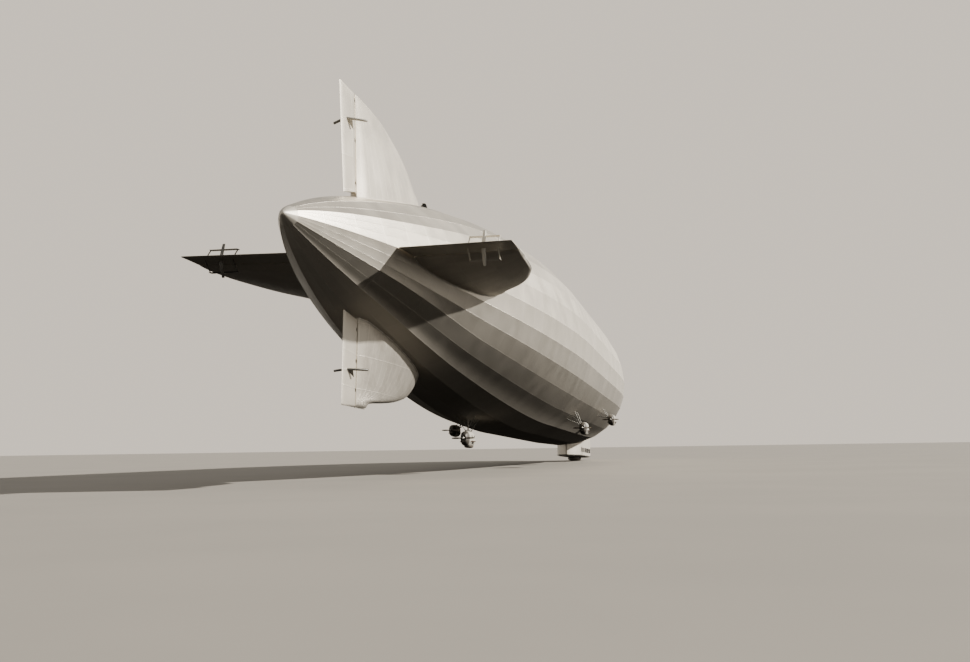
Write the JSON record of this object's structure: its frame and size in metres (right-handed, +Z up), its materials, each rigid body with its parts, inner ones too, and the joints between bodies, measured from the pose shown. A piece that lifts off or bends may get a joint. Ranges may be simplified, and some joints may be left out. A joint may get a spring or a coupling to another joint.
{
  "type": "rigid airship, one-tenth scale model",
  "caption": "Long ridged hull with crossed fins, hinged rudders and elevators, hanging engine cars with pusher propellers, and a glazed gondola under the bow.",
  "frame": {"origin": "on the hull's long axis at its centre of buoyancy, where the air carries it", "axes": "+X along the hull to the nose, +Y to port, +Z up"},
  "size_m": [23.708, 3.44, 3.545],
  "materials": {
    "cover_fabric": "satin",
    "cap_metal": "satin",
    "nacelle_metal": "satin",
    "engine_iron": "matte",
    "steel": "satin",
    "propeller_wood": "satin",
    "bumper_cloth": "matte",
    "cabin_panel": "satin",
    "window_glass": "gloss"
  },
  "bodies": {
    "airship": {"hull_envelope": "cover_fabric", "nose_cap": "cap_metal", "tail_cap": "cap_metal", "ventilator_hood": "steel", "upper_fin": "cover_fabric", "port_fin": "cover_fabric", "lower_fin": "cover_fabric", "starboard_fin": "cover_fabric", "rear_car_nacelle": "nacelle_metal", "rear_car_engine": "engine_iron", "rear_car_struts": "steel", "port_middle_car_nacelle": "nacelle_metal", "port_middle_car_engine": "engine_iron", "port_middle_car_struts": "steel", "starboard_middle_car_nacelle": "nacelle_metal", "starboard_middle_car_engine": "engine_iron", "starboard_middle_car_struts": "steel", "port_forward_car_nacelle": "nacelle_metal", "port_forward_car_engine": "engine_iron", "port_forward_car_struts": "steel", "starboard_forward_car_nacelle": "nacelle_metal", "starboard_forward_car_engine": "engine_iron", "starboard_forward_car_struts": "steel", "rear_car_bumper": "bumper_cloth", "gondola_floor": "cover_fabric", "gondola_ceiling": "cabin_panel", "gondola_port_side": "cover_fabric", "gondola_starboard_side": "cover_fabric", "gondola_bow": "cover_fabric", "gondola_stern": "cover_fabric", "gondola_lounge_bulkhead": "cabin_panel", "gondola_control_bulkhead": "cabin_panel", "rudder_stand": "steel", "elevator_stand": "steel", "gondola_bumper": "bumper_cloth"},
    "upper_rudder": {"upper_rudder": "cover_fabric"},
    "lower_rudder": {"lower_rudder": "cover_fabric"},
    "port_elevator": {"port_elevator": "cover_fabric"},
    "starboard_elevator": {"starboard_elevator": "cover_fabric"},
    "rear_propeller": {"rear_car_propeller": "propeller_wood"},
    "port_middle_propeller": {"port_middle_car_propeller": "propeller_wood"},
    "starboard_middle_propeller": {"starboard_middle_car_propeller": "propeller_wood"},
    "port_forward_propeller": {"port_forward_car_propeller": "propeller_wood"},
    "starboard_forward_propeller": {"starboard_forward_car_propeller": "propeller_wood"},
    "door": {"gondola_door": "cover_fabric"}
  },
  "joints": [
    {"name": "upper_rudder_turn", "type": "hinge", "parent": "airship", "child": "upper_rudder", "pos_m": [-10.95, 0, 1.2], "axis": [0, 0, 1], "range_deg": [-20, 20]},
    {"name": "lower_rudder_turn", "type": "hinge", "parent": "airship", "child": "lower_rudder", "pos_m": [-10.88, 0, -1.1], "axis": [0, 0, 1], "range_deg": [-20, 20]},
    {"name": "port_elevator_turn", "type": "hinge", "parent": "airship", "child": "port_elevator", "pos_m": [-10.9, 1.2, 0], "axis": [0, 1, 0], "range_deg": [-20, 20]},
    {"name": "starboard_elevator_turn", "type": "hinge", "parent": "airship", "child": "starboard_elevator", "pos_m": [-10.9, -1.2, 0], "axis": [0, 1, 0], "range_deg": [-20, 20]},
    {"name": "rear_propeller_spin", "type": "hinge", "parent": "airship", "child": "rear_propeller", "pos_m": [-5.7, 0, -1.69], "axis": [1, 0, 0], "continuous": true},
    {"name": "port_middle_propeller_spin", "type": "hinge", "parent": "airship", "child": "port_middle_propeller", "pos_m": [-1.21, 1.22, -1.375], "axis": [1, 0, 0], "continuous": true},
    {"name": "starboard_middle_propeller_spin", "type": "hinge", "parent": "airship", "child": "starboard_middle_propeller", "pos_m": [-1.21, -1.22, -1.375], "axis": [1, 0, 0], "continuous": true},
    {"name": "port_forward_propeller_spin", "type": "hinge", "parent": "airship", "child": "port_forward_propeller", "pos_m": [2, 1.45, -1.07], "axis": [1, 0, 0], "continuous": true},
    {"name": "starboard_forward_propeller_spin", "type": "hinge", "parent": "airship", "child": "starboard_forward_propeller", "pos_m": [2, -1.45, -1.07], "axis": [1, 0, 0], "continuous": true},
    {"name": "door_swing", "type": "hinge", "parent": "airship", "child": "door", "pos_m": [6.7255, -0.305, -1.587], "axis": [0, 0, 1], "range_deg": [0, 100]}
  ],
  "couplings": [
    {"joint": "lower_rudder_turn", "follows": "upper_rudder_turn", "ratio": 1},
    {"joint": "starboard_elevator_turn", "follows": "port_elevator_turn", "ratio": 1}
  ]
}
